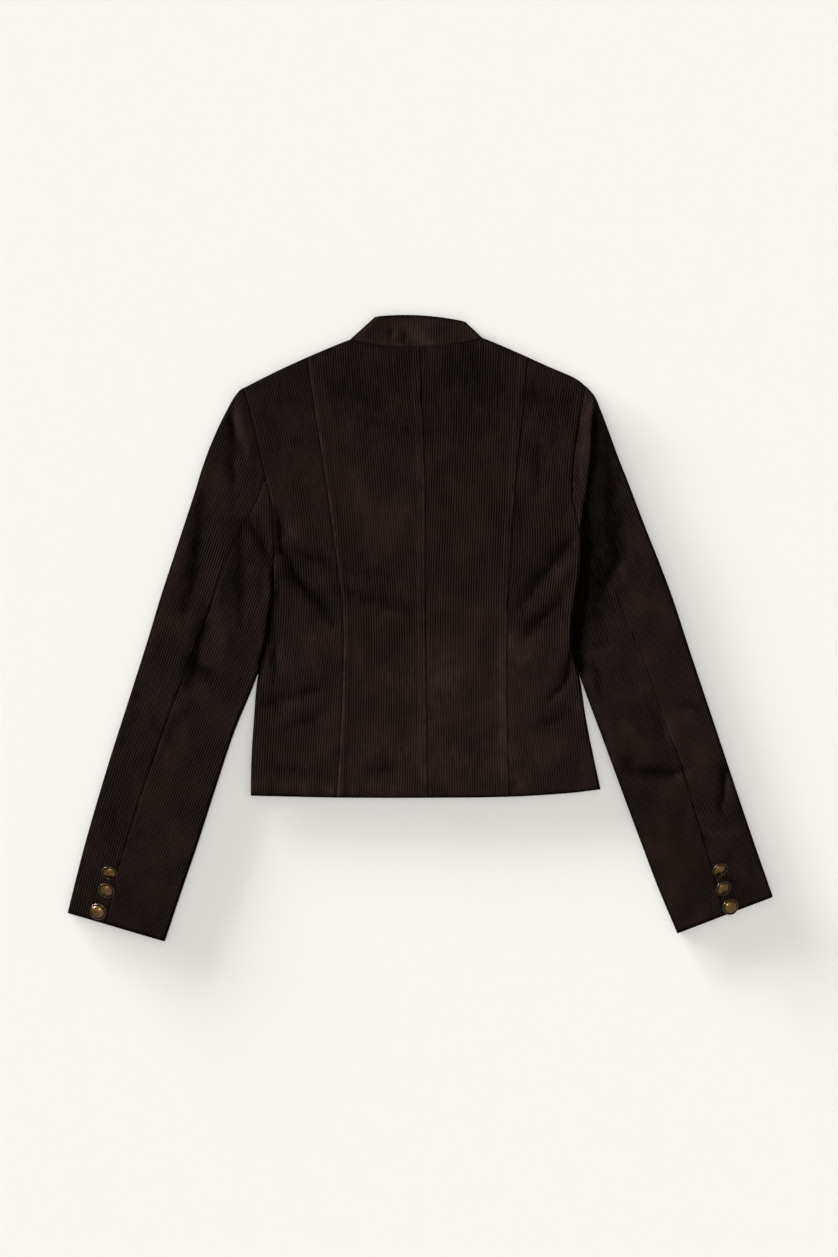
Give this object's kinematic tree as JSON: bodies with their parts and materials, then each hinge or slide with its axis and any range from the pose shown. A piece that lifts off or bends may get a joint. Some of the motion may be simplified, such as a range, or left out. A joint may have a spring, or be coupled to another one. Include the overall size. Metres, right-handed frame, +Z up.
{
  "type": "corduroy jacket",
  "caption": "Cropped corduroy jacket with a stand collar and long sleeves, laid flat with its back side up, with domed metal buttons at the cuffs.",
  "frame": {"origin": "middle of the jacket's box, on the surface that it lies on", "axes": "+X to the wearer's right, +Y towards the collar, +Z up from the surface"},
  "size_m": [0.789, 0.7007, 0.0209],
  "materials": {
    "corduroy": "fine dark brown corduroy with a soft velvet sheen",
    "button_metal": "antique brass, darker in its rim groove"
  },
  "bodies": {
    "root": {"back_centre_left": "corduroy", "back_centre_right": "corduroy", "back_side_left": "corduroy", "back_side_right": "corduroy", "collar": "corduroy", "front_left": "corduroy", "front_right": "corduroy", "sleeve_top_left": "corduroy", "sleeve_top_right": "corduroy", "sleeve_under_left": "corduroy", "sleeve_under_right": "corduroy", "cuff_button_left_1": "button_metal", "cuff_button_left_2": "button_metal", "cuff_button_left_3": "button_metal", "cuff_button_right_1": "button_metal", "cuff_button_right_2": "button_metal", "cuff_button_right_3": "button_metal"}
  },
  "joints": []
}
